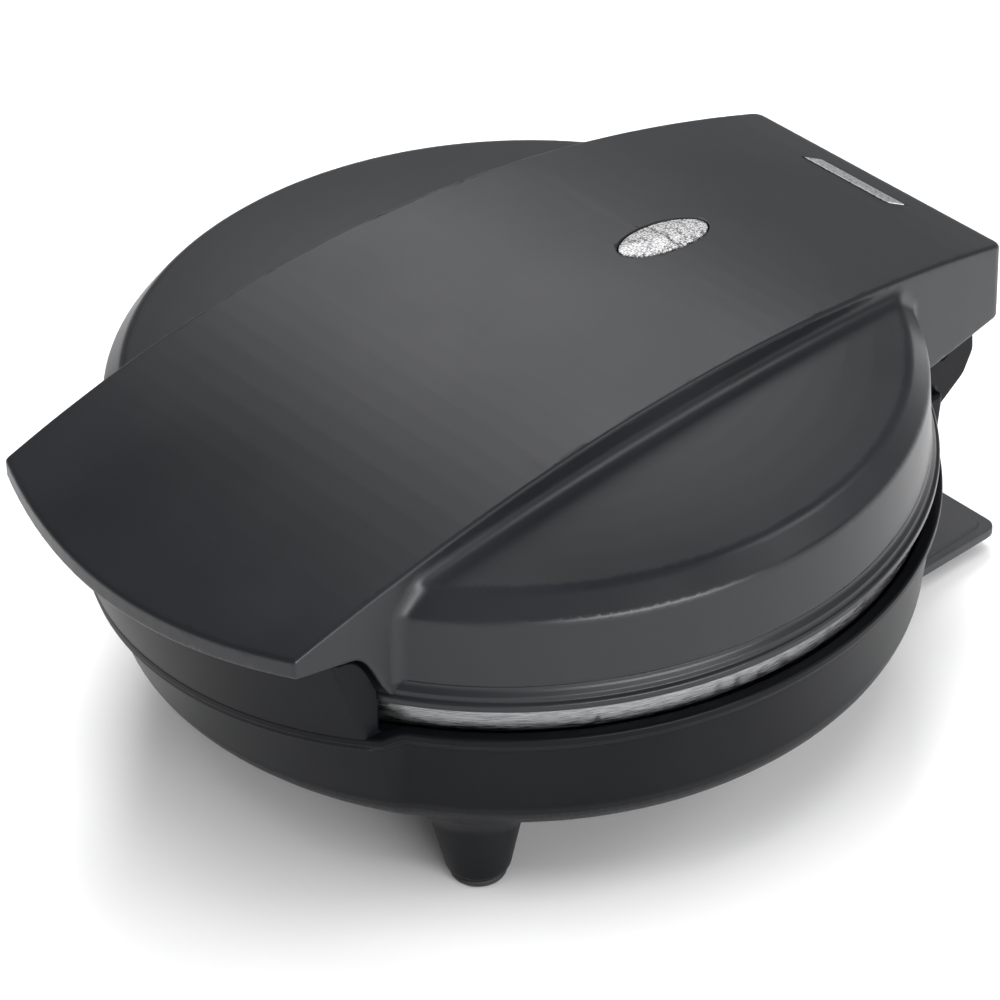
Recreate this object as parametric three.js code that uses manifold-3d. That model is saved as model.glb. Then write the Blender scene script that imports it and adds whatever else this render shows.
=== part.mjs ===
// A round electric donut maker for seven rings: a hinged upper housing over a legged lower housing.
// Millimetres, +Z up, the handle at -Y and the hinge at +Y. The feet stand on Z = 0.
import * as THREE from 'three';
import { mergeVertices } from 'three/addons/utils/BufferGeometryUtils.js';
import Module from 'manifold-3d';

const wasm = await Module();
wasm.setup();

// Driving dimensions ---------------------------------------------------------------------------
const WALL = 2.5; // moulded wall thickness
const GAP = 0.35; // clearance between pieces that meet
const REACH = 200; // longer than the whole part, for cutting tools
const ROUND_SIDES = 60; // facets around the housings and plates

const RIM_R = 115.3; // lower housing's top rim
const RIM_Z = 64.6;
const BOWL_CORNER_R = 111; // where the bowl's wall starts to curve in
const BOWL_CORNER_Z = 40;
const BOWL_FLOOR_R = 82; // flat floor of the bowl
const BOWL_FLOOR_Z = 21.5;

const FLANGE_R = 114.3; // upper housing's lowest band
const FLANGE_Z = 72.7;
const FLANGE_H = 3.3;
const LID_WALL_R = 112; // upper housing's wall, at its foot
const LID_SHOULDER_R = 111.1; // and where the chamfer starts
const LID_SHOULDER_Z = 98.7;
const LID_CROWN_R = 105.75; // inner edge of the chamfer
const LID_CROWN_Z = 105.4;
const LID_DOME_Z = 114.4; // top of the round part, at the axis

const BAND_FRONT_Y = -126.5; // corners of the handle's front edge
const BAND_BOW = 12; // how far the front edge bows out between them
const BAND_BACK_Y = 138.5;
const BAND_HALF_W = 60.5; // widest half width of the raised band
const BAND_WIDEST_Y = -66;
const BAND_TAPER = 2.85; // half width lost at 100 mm from the widest place
const BAND_TOP_Z = 119.8; // crest of the band, at Y = 0
const BAND_DROP = 11.05; // height lost at 100 mm from the crest
const LIP_H = 6.1; // height of the handle's lip

const HINGE_Y = 118;
const HINGE_Z = 71;
const HINGE_BOSS_R = 8.5;
const HINGE_PIN_R = 2.5;
const EAR_X = 38.5; // inner face of each base ear
const EAR_W = 7.8;
const LUG_X = 31; // inner face of each lid lug
const LUG_W = 7;
const TOWER_HALF_W = 50;

const FRONT_LEG = [59, -69.5]; // the right front leg in plan
const REAR_LEG = [60, 60];
const LEG_TOP_R = 15;
const LEG_TIP_R = 8.4;
const PAD_H = 2.5;

const PLATE_GAP_Z = 64.9; // parting plane between the two baking plates
const LOWER_PLATE_R = 110;
const UPPER_PLATE_R = 111.5;
const PLATE_T = 4;
const RING_PITCH_R = 66; // centre distance of the six outer rings
const RING_MID_R = 19; // middle of a donut's tube
const RING_TUBE_W = 11; // half width of the tube
const RING_DEPTH = 13;
const CAST_T = 2.2; // metal around a ring cavity
const RING_SIDES = 12; // facets around one ring
const PLATE_SCREW_R = 39; // the plate screws' distance from the axis

const ELEMENT_R = 66;
const ELEMENT_TUBE_R = 3.2;
const REFLECTOR_R = 98;
const REFLECTOR_T = 0.8;

const WRAP_TOP_Z = 8; // cord wrap plate
const WRAP_T = 3;
const WRAP_HALF_W = 56.1;
const WRAP_BACK_Y = 133.4;

const LENS_Y = 54.6;
const LENS_HALF_L = 15.6;
const LENS_HALF_W = 6.9;
const LENS_SPLIT = 0.5;

// Materials ------------------------------------------------------------------------------------
function finish(color, roughness, metalness) {
  return new THREE.MeshStandardMaterial({ color, roughness, metalness });
}
const BLACK_PLASTIC = finish(0x27282b, 0.45, 0);
const INNER_PLASTIC = finish(0x1b1c1e, 0.6, 0);
const CAST_ALUMINIUM = finish(0x8d9092, 0.35, 1);
const SHEET_ALUMINIUM = finish(0xb9bcc0, 0.3, 1);
const STEEL = finish(0x9a9da1, 0.3, 1);
const ELEMENT_SHEATH = finish(0x6f716f, 0.5, 1);
const RUBBER = finish(0x0c0c0d, 0.85, 0);
const CLEAR_LENS = finish(0xe9ebec, 0.12, 0);
const LAMP_RED = finish(0xd0432c, 0.3, 0);
const LAMP_GREEN = finish(0x3da356, 0.3, 0);
const WHITE_PLASTIC = finish(0xe4e2dc, 0.5, 0);

// Solids ---------------------------------------------------------------------------------------
function signedVolume(points, triangles) {
  const corner = (i) => new THREE.Vector3().fromArray(points, 3 * triangles[i]);
  let sum = 0;
  for (let i = 0; i < triangles.length; i += 3) {
    sum += corner(i).dot(corner(i + 1).cross(corner(i + 2)));
  }
  return sum / 6;
}

// A closed three.js geometry as a manifold solid, with its faces turned outward.
function solid(geometry) {
  const bare = geometry.clone();
  bare.deleteAttribute('normal');
  bare.deleteAttribute('uv');
  const merged = mergeVertices(bare, 1e-4);
  const points = new Float32Array(merged.attributes.position.array);
  const triangles = [];
  const index = merged.index.array;
  for (let i = 0; i < index.length; i += 3) {
    const [a, b, c] = [index[i], index[i + 1], index[i + 2]];
    if (a !== b && b !== c && c !== a) triangles.push(a, b, c);
  }
  if (signedVolume(points, triangles) < 0) triangles.reverse();
  const triVerts = new Uint32Array(triangles);
  return new wasm.Manifold(new wasm.Mesh({ numProp: 3, vertProperties: points, triVerts }));
}

function geometryOf(body) {
  const mesh = body.getMesh();
  const geometry = new THREE.BufferGeometry();
  geometry.setAttribute('position', new THREE.BufferAttribute(mesh.vertProperties, 3));
  geometry.setIndex(new THREE.BufferAttribute(mesh.triVerts, 1));
  const faceted = geometry.toNonIndexed();
  faceted.computeVertexNormals();
  return faceted;
}

const union = (...bodies) => bodies.reduce((sum, body) => sum.add(body));

function box(x0, x1, y0, y1, z0, z1) {
  const geometry = new THREE.BoxGeometry(x1 - x0, y1 - y0, z1 - z0);
  return solid(geometry.translate((x0 + x1) / 2, (y0 + y1) / 2, (z0 + z1) / 2));
}

function coneZ(x, y, z0, z1, r0, r1, sides = 20) {
  const geometry = new THREE.CylinderGeometry(r1, r0, z1 - z0, sides);
  return solid(geometry.rotateX(Math.PI / 2).translate(x, y, (z0 + z1) / 2));
}

const cylinderZ = (x, y, z0, z1, r, sides) => coneZ(x, y, z0, z1, r, r, sides);

function cylinderX(x0, x1, y, z, r, sides = 20) {
  const geometry = new THREE.CylinderGeometry(r, r, x1 - x0, sides);
  return solid(geometry.rotateZ(Math.PI / 2).translate((x0 + x1) / 2, y, z));
}

function cylinderY(x, y0, y1, z, r, sides = 20) {
  return solid(new THREE.CylinderGeometry(r, r, y1 - y0, sides).translate(x, (y0 + y1) / 2, z));
}

// A profile of [radius, height] points turned about Z.
function turned(profile, sides = ROUND_SIDES) {
  const points = profile.map(([r, z]) => new THREE.Vector2(r, z));
  return new THREE.LatheGeometry(points, sides).rotateX(Math.PI / 2);
}

// An outline of [x, y] points raised from z0 to z1.
function raised(outline, z0, z1) {
  const shape = new THREE.Shape(outline.map(([x, y]) => new THREE.Vector2(x, y)));
  const geometry = new THREE.ExtrudeGeometry(shape, { depth: z1 - z0, bevelEnabled: false });
  return solid(geometry.translate(0, 0, z0));
}

// A side view of [y, z] points carried along X from x0 to x1.
function carried(sideView, x0, x1) {
  const shape = new THREE.Shape(sideView.map(([y, z]) => new THREE.Vector2(y, z)));
  const geometry = new THREE.ExtrudeGeometry(shape, { depth: x1 - x0, bevelEnabled: false });
  geometry.rotateX(Math.PI / 2).rotateZ(Math.PI / 2);
  return solid(geometry.translate(x0, 0, 0));
}

const steps = (from, to, count) => {
  return Array.from({ length: count + 1 }, (_, i) => from + ((to - from) * i) / count);
};

const mirrored = (body) => body.mirror([1, 0, 0]);

// The raised band ------------------------------------------------------------------------------
const halfWidth = (y) => BAND_HALF_W - BAND_TAPER * ((y - BAND_WIDEST_Y) / 100) ** 2;
const bandTop = (y) => BAND_TOP_Z - BAND_DROP * (y / 100) ** 2;

function bandOutline(inset) {
  const front = BAND_FRONT_Y + inset;
  const back = BAND_BACK_Y - inset;
  const right = steps(front, back, 10).map((y) => [halfWidth(y) - inset, y]);
  const left = right.map(([x, y]) => [-x, y]).reverse();
  const halfFront = right[0][0];
  const bow = steps(-0.8, 0.8, 8).map((t) => [t * halfFront, front - BAND_BOW * (1 - t * t)]);
  return [...left.slice(0, -1), left[left.length - 1], ...bow, ...right];
}

// The space under the band's top, lowered by `drop`, down to the side view's lower edge.
function underBand(drop, lowerEdge) {
  const front = BAND_FRONT_Y - BAND_BOW - 1;
  const back = BAND_BACK_Y + 1;
  const top = steps(back, front, 18).map((y) => [y, bandTop(y) - drop]);
  return carried([...top, ...lowerEdge], -REACH / 2, REACH / 2);
}

// The S curve from the lip, back and down to the flange, as seen from the side.
function skirtCurve(drop, back) {
  const crest = new THREE.Vector2(-109.4, 92.5 - drop);
  const foot = new THREE.Vector2(-93 + back, FLANGE_Z - drop);
  const lead = new THREE.Vector2(-100.5, 91.5 - drop);
  const run = new THREE.Vector2(-101 + back, FLANGE_Z + 1 - drop);
  const curve = new THREE.CubicBezierCurve(crest, lead, run, foot);
  return curve.getPoints(8).map((p) => [p.x, p.y]);
}

function bandSolid() {
  const tipY = BAND_FRONT_Y - BAND_BOW - 1;
  const lip = [[tipY, bandTop(tipY) - LIP_H], [BAND_FRONT_Y, bandTop(BAND_FRONT_Y) - LIP_H]];
  const heel = [[104, FLANGE_Z], [133.5, FLANGE_Z + 1.3], [BAND_BACK_Y + 1, FLANGE_Z + 4.5]];
  const body = underBand(0, [...lip, ...skirtCurve(0, 0), ...heel]);
  return body.intersect(raised(bandOutline(0), 0, REACH));
}

// Upper housing --------------------------------------------------------------------------------
function roundLidOuter() {
  const dome = steps(0, 1, 5).map((t) => [LID_CROWN_R * (1 - t), domeHeight(LID_CROWN_R * (1 - t))]);
  const grooveZ = FLANGE_Z + FLANGE_H;
  const wall = [[LID_WALL_R, grooveZ + 1.2], [LID_SHOULDER_R, LID_SHOULDER_Z]];
  return solid(turned([[0, FLANGE_Z], [FLANGE_R, FLANGE_Z], [FLANGE_R, grooveZ], ...wall, ...dome]));
}

function domeHeight(r) {
  return LID_CROWN_Z + (LID_DOME_Z - LID_CROWN_Z) * (1 - (r / LID_CROWN_R) ** 2);
}

function lidHollow() {
  const innerR = LID_WALL_R - WALL - 0.2;
  const lid = [[innerR, 60], [innerR, LID_SHOULDER_Z - 1], [LID_CROWN_R - WALL, LID_CROWN_Z - WALL]];
  const dome = steps(0.25, 1, 3).map((t) => {
    const r = LID_CROWN_R * (1 - t);
    return [r, domeHeight(r) - WALL];
  });
  const round = solid(turned([[0, 60], ...lid, ...dome]));
  const plan = raised(bandOutline(WALL), 0, REACH);
  const ends = (z) => [[BAND_FRONT_Y - BAND_BOW - 1, z], [BAND_BACK_Y + 1, z]];
  const attic = underBand(WALL, ends(LID_SHOULDER_Z - 3)).intersect(plan);
  const wallDrum = cylinderZ(0, 0, 0, REACH, LID_WALL_R + 0.4, ROUND_SIDES);
  const pockets = underBand(WALL, ends(55)).intersect(plan).subtract(wallDrum);
  return union(round, attic, pockets);
}

function lidLug() {
  const arm = box(LUG_X, LUG_X + LUG_W, HINGE_Y - 4.5, HINGE_Y + 4.5, HINGE_Z, bandTop(HINGE_Y) - 1);
  const boss = cylinderX(LUG_X, LUG_X + LUG_W, HINGE_Y, HINGE_Z, HINGE_BOSS_R - 1.5);
  return union(arm, boss);
}

const hingeBore = () => cylinderX(-EAR_X - EAR_W + 1, EAR_X + EAR_W - 1, HINGE_Y, HINGE_Z, HINGE_PIN_R + GAP);

const atScrews = (make) => [30, 150, 270].map((degrees) => {
  const angle = THREE.MathUtils.degToRad(degrees);
  return make(PLATE_SCREW_R * Math.cos(angle), PLATE_SCREW_R * Math.sin(angle));
});

function screwPost(x, y, z0, z1, open0, open1) {
  return cylinderZ(x, y, z0, z1, 4, 12).subtract(cylinderZ(x, y, open0, open1, 2.2, 10));
}

function lensOutline(grow) {
  return steps(0, 1, 28).slice(0, -1).map((t) => {
    const angle = 2 * Math.PI * t;
    const along = (LENS_HALF_L + grow) * Math.cos(angle);
    return [(LENS_HALF_W + grow) * Math.sin(angle), LENS_Y + along];
  });
}

// The layer that follows the band's top, from `low` to `high` above it.
function bandLayer(low, high) {
  const ends = [BAND_FRONT_Y - BAND_BOW - 1, BAND_BACK_Y + 1];
  const upper = steps(ends[1], ends[0], 18).map((y) => [y, bandTop(y) + high]);
  const lower = steps(ends[0], ends[1], 18).map((y) => [y, bandTop(y) + low]);
  return carried([...upper, ...lower], -REACH / 2, REACH / 2);
}

function badgeOutline(grow) {
  const [half, slant, y0, y1] = [16.5 + grow, 1.6, 126.6 - grow, 130.6 + grow];
  return [[-half - slant, y0], [half - slant, y0], [half + slant, y1], [-half + slant, y1]];
}

function upperHousing() {
  const postFoot = PLATE_GAP_Z + PLATE_T + GAP;
  const posts = atScrews((x, y) => screwPost(x, y, postFoot, BAND_TOP_Z, postFoot - 1, postFoot + 14));
  const outer = union(roundLidOuter(), bandSolid());
  const inside = union(lidLug(), mirrored(lidLug()), ...posts).intersect(withLugs(outer));
  const lensHole = raised(lensOutline(GAP), 90, REACH);
  const badgeSeat = raised(badgeOutline(GAP), 60, REACH).intersect(bandLayer(-0.7, 5));
  const shell = union(outer.subtract(lidHollow()), inside);
  return shell.subtract(union(hingeBore(), lensHole, badgeSeat));
}

// The lid's outer solid, let down around the hinge so that the lugs may hang below it.
function withLugs(outer) {
  return union(outer, box(-LUG_X - LUG_W, LUG_X + LUG_W, HINGE_Y - 9, HINGE_Y + 9, HINGE_Z - 9, HINGE_Z + 20));
}

function handleCover() {
  const wallDrum = cylinderZ(0, 0, 0, REACH, LID_WALL_R + 0.4 + GAP, ROUND_SIDES);
  const front = box(-REACH, REACH, -REACH, -60, 0, REACH);
  const plan = raised(bandOutline(WALL + GAP), 0, REACH).subtract(wallDrum).intersect(front);
  const plate = plan.intersect(bandLayer(-5.7, -3.5));
  return plate.subtract(union(...handleScrewPlaces().map(([x, y]) => cylinderZ(x, y, 80, 110, 1.9, 10))));
}

const handleScrewPlaces = () => [[-34, -122], [34, -122]];

function handleScrew([x, y]) {
  const seat = bandTop(y) - 6.6;
  return union(cylinderZ(x, y, seat - 1.6, seat, 3, 14), cylinderZ(x, y, seat - 1, seat + 3.4, 1.5, 10));
}

// Baking plates, made with their face up at Z = 0 and their back below -------------------------
function ringCentres() {
  const outer = Array.from({ length: 6 }, (_, i) => {
    const angle = (i * Math.PI) / 3;
    return [RING_PITCH_R * Math.cos(angle), RING_PITCH_R * Math.sin(angle)];
  });
  return [[0, 0], ...outer];
}

function ringBody(x, y, halfW, depth) {
  const curve = steps(0, Math.PI, 4).map((a) => [RING_MID_R + halfW * Math.cos(a), -depth * Math.sin(a)]);
  const above = [[RING_MID_R - halfW, 1], [RING_MID_R + halfW, 1]];
  return solid(turned([...curve, ...above, curve[0]], RING_SIDES).translate(x, y, 0));
}

function bakingPlate(radius, skirtDepth, stepR) {
  const slab = cylinderZ(0, 0, -PLATE_T, 0, radius, ROUND_SIDES);
  const edge = cylinderZ(0, 0, -skirtDepth, 0, radius, ROUND_SIDES);
  const collar = cylinderZ(0, 0, -skirtDepth - 2.5, 0, stepR, ROUND_SIDES);
  const open = cylinderZ(0, 0, -REACH, -PLATE_T, stepR - 3, ROUND_SIDES);
  const bulges = ringCentres().map(([x, y]) => ringBody(x, y, RING_TUBE_W + CAST_T, RING_DEPTH + CAST_T));
  const faceUp = box(-REACH, REACH, -REACH, REACH, -REACH, 0);
  const cast = union(slab, union(edge, collar).subtract(open), ...bulges).intersect(faceUp);
  const rings = ringCentres().map(([x, y]) => ringBody(x, y, RING_TUBE_W, RING_DEPTH));
  const holes = atScrews((x, y) => {
    return union(cylinderZ(x, y, -PLATE_T - 1, 1, 2.2, 10), cylinderZ(x, y, -2.2, 1, 3.8, 14));
  });
  return cast.subtract(union(...rings, ...holes));
}

function plateScrew(x, y) {
  return union(cylinderZ(x, y, -1.8, -0.4, 3.4, 14), cylinderZ(x, y, -14, -1, 1.8, 10));
}

const FACE_GAP = 0.25;
const asLower = (body) => body.translate([0, 0, PLATE_GAP_Z - FACE_GAP]);
const asUpper = (body) => body.mirror([0, 0, 1]).translate([0, 0, PLATE_GAP_Z + FACE_GAP]);

function heatingElement() {
  const arc = steps(-72, 252, 24).map((degrees) => {
    const angle = THREE.MathUtils.degToRad(degrees);
    return new THREE.Vector3(ELEMENT_R * Math.cos(angle), ELEMENT_R * Math.sin(angle), 0);
  });
  const tail = (sign) => new THREE.Vector3(sign * 14, -ELEMENT_R + 14, 0);
  const path = new THREE.CatmullRomCurve3([tail(1), ...arc, tail(-1)]);
  const ring = new THREE.Shape(steps(0, 2 * Math.PI, 6).slice(1).map((a) => {
    return new THREE.Vector2(ELEMENT_TUBE_R * Math.cos(a), ELEMENT_TUBE_R * Math.sin(a));
  }));
  const options = { steps: 36, bevelEnabled: false, extrudePath: path };
  return solid(new THREE.ExtrudeGeometry(ring, options));
}

function reflector() {
  const rise = 5;
  const outer = [[0, 0], [REFLECTOR_R - 6, 0], [REFLECTOR_R, rise]];
  const inner = [[REFLECTOR_R - 1.2, rise], [REFLECTOR_R - 6.5, REFLECTOR_T], [0, REFLECTOR_T]];
  const dish = solid(turned([...outer, ...inner], 30));
  return dish.subtract(union(...atScrews((x, y) => cylinderZ(x, y, -2, 8, 4.8, 12))));
}

function thermostat() {
  const can = cylinderZ(0, 0, 1.2, 6, 8.5, 20);
  return union(can, box(-14, 14, -4, 4, 0, 1.4));
}

// Lower housing --------------------------------------------------------------------------------
// The bowl bulges at the front to follow the handle: 1 on the round part, more under the handle.
function bulge(angleFromFront) {
  const offset = 27.5;
  const frontR = 97;
  const swing = Math.abs(angleFromFront);
  const ahead = offset * Math.cos(swing) + Math.sqrt(frontR ** 2 - (offset * Math.sin(swing)) ** 2);
  const blend = THREE.MathUtils.smoothstep(THREE.MathUtils.degToRad(36) - swing, 0, 0.08);
  return 1 + (Math.max(ahead / RIM_R, 1) - 1) * blend;
}

function bulged(geometry) {
  const place = geometry.attributes.position;
  for (let i = 0; i < place.count; i += 1) {
    const [x, y] = [place.getX(i), place.getY(i)];
    const scale = bulge(Math.atan2(x, -y));
    place.setXY(i, x * scale, y * scale);
  }
  return solid(geometry);
}

function bowlProfile(inset) {
  const corner = steps(0, Math.PI / 2, 6).map((a) => [
    BOWL_FLOOR_R + (BOWL_CORNER_R - BOWL_FLOOR_R - inset) * Math.sin(a),
    BOWL_CORNER_Z - (BOWL_CORNER_Z - BOWL_FLOOR_Z - inset) * Math.cos(a),
  ]);
  return [[0, BOWL_FLOOR_Z + inset], ...corner];
}

function bowlOuter() {
  const rim = [[RIM_R - 1.1, RIM_Z - 3.4], [RIM_R, RIM_Z - 2.6], [RIM_R, RIM_Z], [0, RIM_Z]];
  return bulged(turned([...bowlProfile(0), ...rim]));
}

function bowlHollow() {
  const mouth = RIM_R - WALL;
  return bulged(turned([...bowlProfile(WALL), [mouth, RIM_Z - 4], [mouth, RIM_Z + 1], [0, RIM_Z + 1]]));
}

// The block under the handle, whose top follows the lid's S curve.
function frontBlock(inset) {
  const offset = 1.6 + inset;
  const tipY = BAND_FRONT_Y - BAND_BOW + 6 + inset;
  const crown = 91 - inset;
  const slope = skirtCurve(1.6 + inset, -inset).map(([y, z]) => [y - 1.2, z]);
  const foot = RIM_Z - 1;
  const side = [[tipY, foot], [tipY, crown], ...slope, [-90, 66], [-90, foot]];
  const plan = raised(bandOutline(offset), 0, REACH);
  const liner = cylinderZ(0, 0, 50, REACH, FLANGE_R + 1.3 + inset, ROUND_SIDES);
  return carried(side, -REACH / 2, REACH / 2).intersect(plan).intersect(frontBow(inset)).subtract(liner);
}

// The block's face in plan: an arc that leans out from the rim to the lip.
function frontBow(inset) {
  const [offset, lowR, lean] = [27.5, 97 - inset, 7.5];
  const geometry = new THREE.CylinderGeometry(lowR + lean, lowR, 95 - RIM_Z, 60).rotateX(Math.PI / 2);
  const above = solid(geometry.translate(0, -offset, (RIM_Z + 95) / 2));
  return union(above, cylinderZ(0, -offset, 40, RIM_Z + 0.01, lowR, 60));
}

function hingeTower() {
  const side = [[96, 28], [104, 32], [111, 41], [113.5, 48], [114.8, 56], [114.8, 60.5], [96, 60.5]];
  return carried(side, -TOWER_HALF_W, TOWER_HALF_W);
}

function baseEar() {
  const boss = cylinderX(EAR_X, EAR_X + EAR_W, HINGE_Y, HINGE_Z, HINGE_BOSS_R, 24);
  const heel = [[106, 58], [114.2, 50.5], [120.2, 54.4], [123.2, 56.1], [127, 59.2], [129.7, 63]];
  const back = [[130.6, 67], [130.4, 71], [128.6, 75], [124, 78]];
  const front = [[HINGE_Y - 8, HINGE_Z], [106, 62]];
  return union(boss, carried([...heel, ...back, ...front], EAR_X, EAR_X + EAR_W));
}

const legPlaces = () => [FRONT_LEG, REAR_LEG].flatMap(([x, y]) => [[-x, y], [x, y]]);

const GLAND_X = -22;
const GLAND_Z = 43;

function lowerHousing() {
  const legs = legPlaces().map(([x, y]) => coneZ(x, y, PAD_H + GAP, 33, LEG_TIP_R, LEG_TOP_R, 24));
  const outer = union(bowlOuter(), frontBlock(0), hingeTower(), ...legs);
  const hollow = union(bowlHollow(), frontBlock(WALL));
  const seat = turned([[RIM_R - WALL, 54], [118.2, 54], [118.2, RIM_Z], [RIM_R - WALL, RIM_Z], [RIM_R - WALL, 54]]);
  const topZ = PLATE_GAP_Z - PLATE_T - 2 * GAP;
  const posts = atScrews((x, y) => screwPost(x, y, BOWL_FLOOR_Z + 1, topZ, topZ - 14, topZ + 1));
  const ears = union(baseEar(), mirrored(baseEar())).subtract(hingeBore());
  const shell = union(outer.subtract(hollow), solid(seat).intersect(outer), ears, ...posts);
  const glandHole = cylinderY(GLAND_X, 90, 130, GLAND_Z, 5 + GAP, 20);
  const bracketHoles = wrapScrewPlaces().map(([x, y]) => cylinderZ(x, y, 10, 27, 2.1, 10));
  return shell.subtract(union(glandHole, ...bracketHoles));
}

function cordGland() {
  const faceY = 111.9;
  const sleeve = cylinderY(GLAND_X, 99, faceY + 4.5, GLAND_Z, 5, 20);
  const flange = cylinderY(GLAND_X, faceY + 3.2, faceY + 5.5, GLAND_Z, 6.8, 24);
  return union(sleeve, flange).subtract(cylinderY(GLAND_X, 90, 130, GLAND_Z, 3.4, 16));
}

// Cord wrap bracket ----------------------------------------------------------------------------
const wrapScrewPlaces = () => [[-12, 56], [12, 56]];

function wrapOutline() {
  const [half, back, front, neck, r] = [WRAP_HALF_W, WRAP_BACK_Y, 76, 24, 4];
  const corner = steps(0, Math.PI / 2, 3).map((a) => [half - r + r * Math.cos(a), back - r + r * Math.sin(a)]);
  const right = [[neck, 42], [neck, front], [half, front], ...corner];
  return [...right, ...right.map(([x, y]) => [-x, y]).reverse()];
}

function wrapBracket() {
  const plate = raised(wrapOutline(), WRAP_TOP_Z - WRAP_T, WRAP_TOP_Z);
  const pedestal = box(-20, 20, 42, 72, WRAP_TOP_Z - WRAP_T, BOWL_FLOOR_Z - GAP);
  const holes = wrapScrewPlaces().map(([x, y]) => cylinderZ(x, y, 0, 30, 2.1, 10));
  return union(plate, pedestal).subtract(union(...holes));
}

function wrapScrew([x, y]) {
  const seat = WRAP_TOP_Z - WRAP_T - GAP;
  return union(cylinderZ(x, y, seat - 1.6, seat, 3.6, 14), cylinderZ(x, y, seat - 1, 26, 1.7, 10));
}

// Lamps and lens -------------------------------------------------------------------------------
function lensHalf(side) {
  const half = side > 0 ? box(-20, 20, LENS_Y + LENS_SPLIT / 2, 100, 0, REACH)
    : box(-20, 20, 0, LENS_Y - LENS_SPLIT / 2, 0, REACH);
  return raised(lensOutline(0), 60, REACH).intersect(bandLayer(-3, 0.5)).intersect(half);
}

function lampHolder() {
  const tray = box(-9, 9, LENS_Y - 18, LENS_Y + 18, 98, 106);
  return tray.subtract(box(-7, 7, LENS_Y - 16, LENS_Y + 16, 100, 107));
}

const lamp = (side) => cylinderY(0, LENS_Y + side * 8 - 6.5, LENS_Y + side * 8 + 6.5, 103.2, 2.6, 14);

// Assembly -------------------------------------------------------------------------------------
const group = new THREE.Group();
const base = new THREE.Group();
const lid = new THREE.Group();
group.add(base, lid);

function put(parent, name, body, material) {
  const mesh = new THREE.Mesh(geometryOf(body), material);
  mesh.name = name;
  parent.add(mesh);
}

put(base, 'lower_housing', lowerHousing(), BLACK_PLASTIC);
put(base, 'lower_baking_plate', asLower(bakingPlate(LOWER_PLATE_R, 6, LOWER_PLATE_R - 3)), CAST_ALUMINIUM);
put(base, 'lower_heating_element', heatingElement().translate([0, 0, 45.6]), ELEMENT_SHEATH);
put(base, 'lower_reflector', reflector().translate([0, 0, 36]), SHEET_ALUMINIUM);
put(base, 'lower_thermostat', thermostat().translate([0, 0, 42.6]), STEEL);
put(base, 'thermal_fuse', cylinderX(-12, 12, 30, 30, 2.6, 14), WHITE_PLASTIC);
put(base, 'terminal_block', box(-14, 14, 62, 74, 24.6, 34), WHITE_PLASTIC);
put(base, 'cord_gland', cordGland(), RUBBER);
put(base, 'cord_wrap_bracket', wrapBracket(), BLACK_PLASTIC);
legPlaces().forEach(([x, y], i) => {
  put(base, `foot_pad_${i + 1}`, coneZ(x, y, 0, PAD_H, LEG_TIP_R - 1.2, LEG_TIP_R - 0.2, 20), RUBBER);
});
wrapScrewPlaces().forEach((place, i) => put(base, `wrap_screw_${i + 1}`, wrapScrew(place), STEEL));
atScrews(plateScrew).forEach((body, i) => put(base, `lower_plate_screw_${i + 1}`, asLower(body), STEEL));
const pin = cylinderX(LUG_X + 0.5, EAR_X + EAR_W - 1 - GAP, HINGE_Y, HINGE_Z, HINGE_PIN_R, 16);
put(base, 'hinge_pin_right', pin, STEEL);
put(base, 'hinge_pin_left', mirrored(pin), STEEL);

const upperPlateDepth = FLANGE_Z - GAP - PLATE_GAP_Z - FACE_GAP;
put(lid, 'upper_housing', upperHousing(), BLACK_PLASTIC);
put(lid, 'upper_baking_plate', asUpper(bakingPlate(UPPER_PLATE_R, upperPlateDepth, 108.8)), CAST_ALUMINIUM);
put(lid, 'upper_heating_element', heatingElement().translate([0, 0, 84.4]), ELEMENT_SHEATH);
put(lid, 'upper_reflector', reflector().mirror([0, 0, 1]).translate([0, 0, 94]), SHEET_ALUMINIUM);
put(lid, 'upper_thermostat', thermostat().mirror([0, 0, 1]).translate([0, 0, 87.4]), STEEL);
put(lid, 'lens_front', lensHalf(-1), CLEAR_LENS);
put(lid, 'lens_rear', lensHalf(1), CLEAR_LENS);
put(lid, 'lamp_holder', lampHolder(), INNER_PLASTIC);
put(lid, 'power_lamp', lamp(-1), LAMP_RED);
put(lid, 'ready_lamp', lamp(1), LAMP_GREEN);
put(lid, 'handle_cover', handleCover(), INNER_PLASTIC);
handleScrewPlaces().forEach((place, i) => put(lid, `handle_screw_${i + 1}`, handleScrew(place), STEEL));
atScrews(plateScrew).forEach((body, i) => put(lid, `upper_plate_screw_${i + 1}`, asUpper(body), STEEL));
put(lid, 'badge_plate', raised(badgeOutline(0), 60, REACH).intersect(bandLayer(-0.35, 0.25)), SHEET_ALUMINIUM);

export default group;
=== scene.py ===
"""A round donut maker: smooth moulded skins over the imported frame, its finishes, light and camera."""

import math

import bmesh
import bpy
import numpy as np
from mathutils import Matrix, Vector


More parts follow.
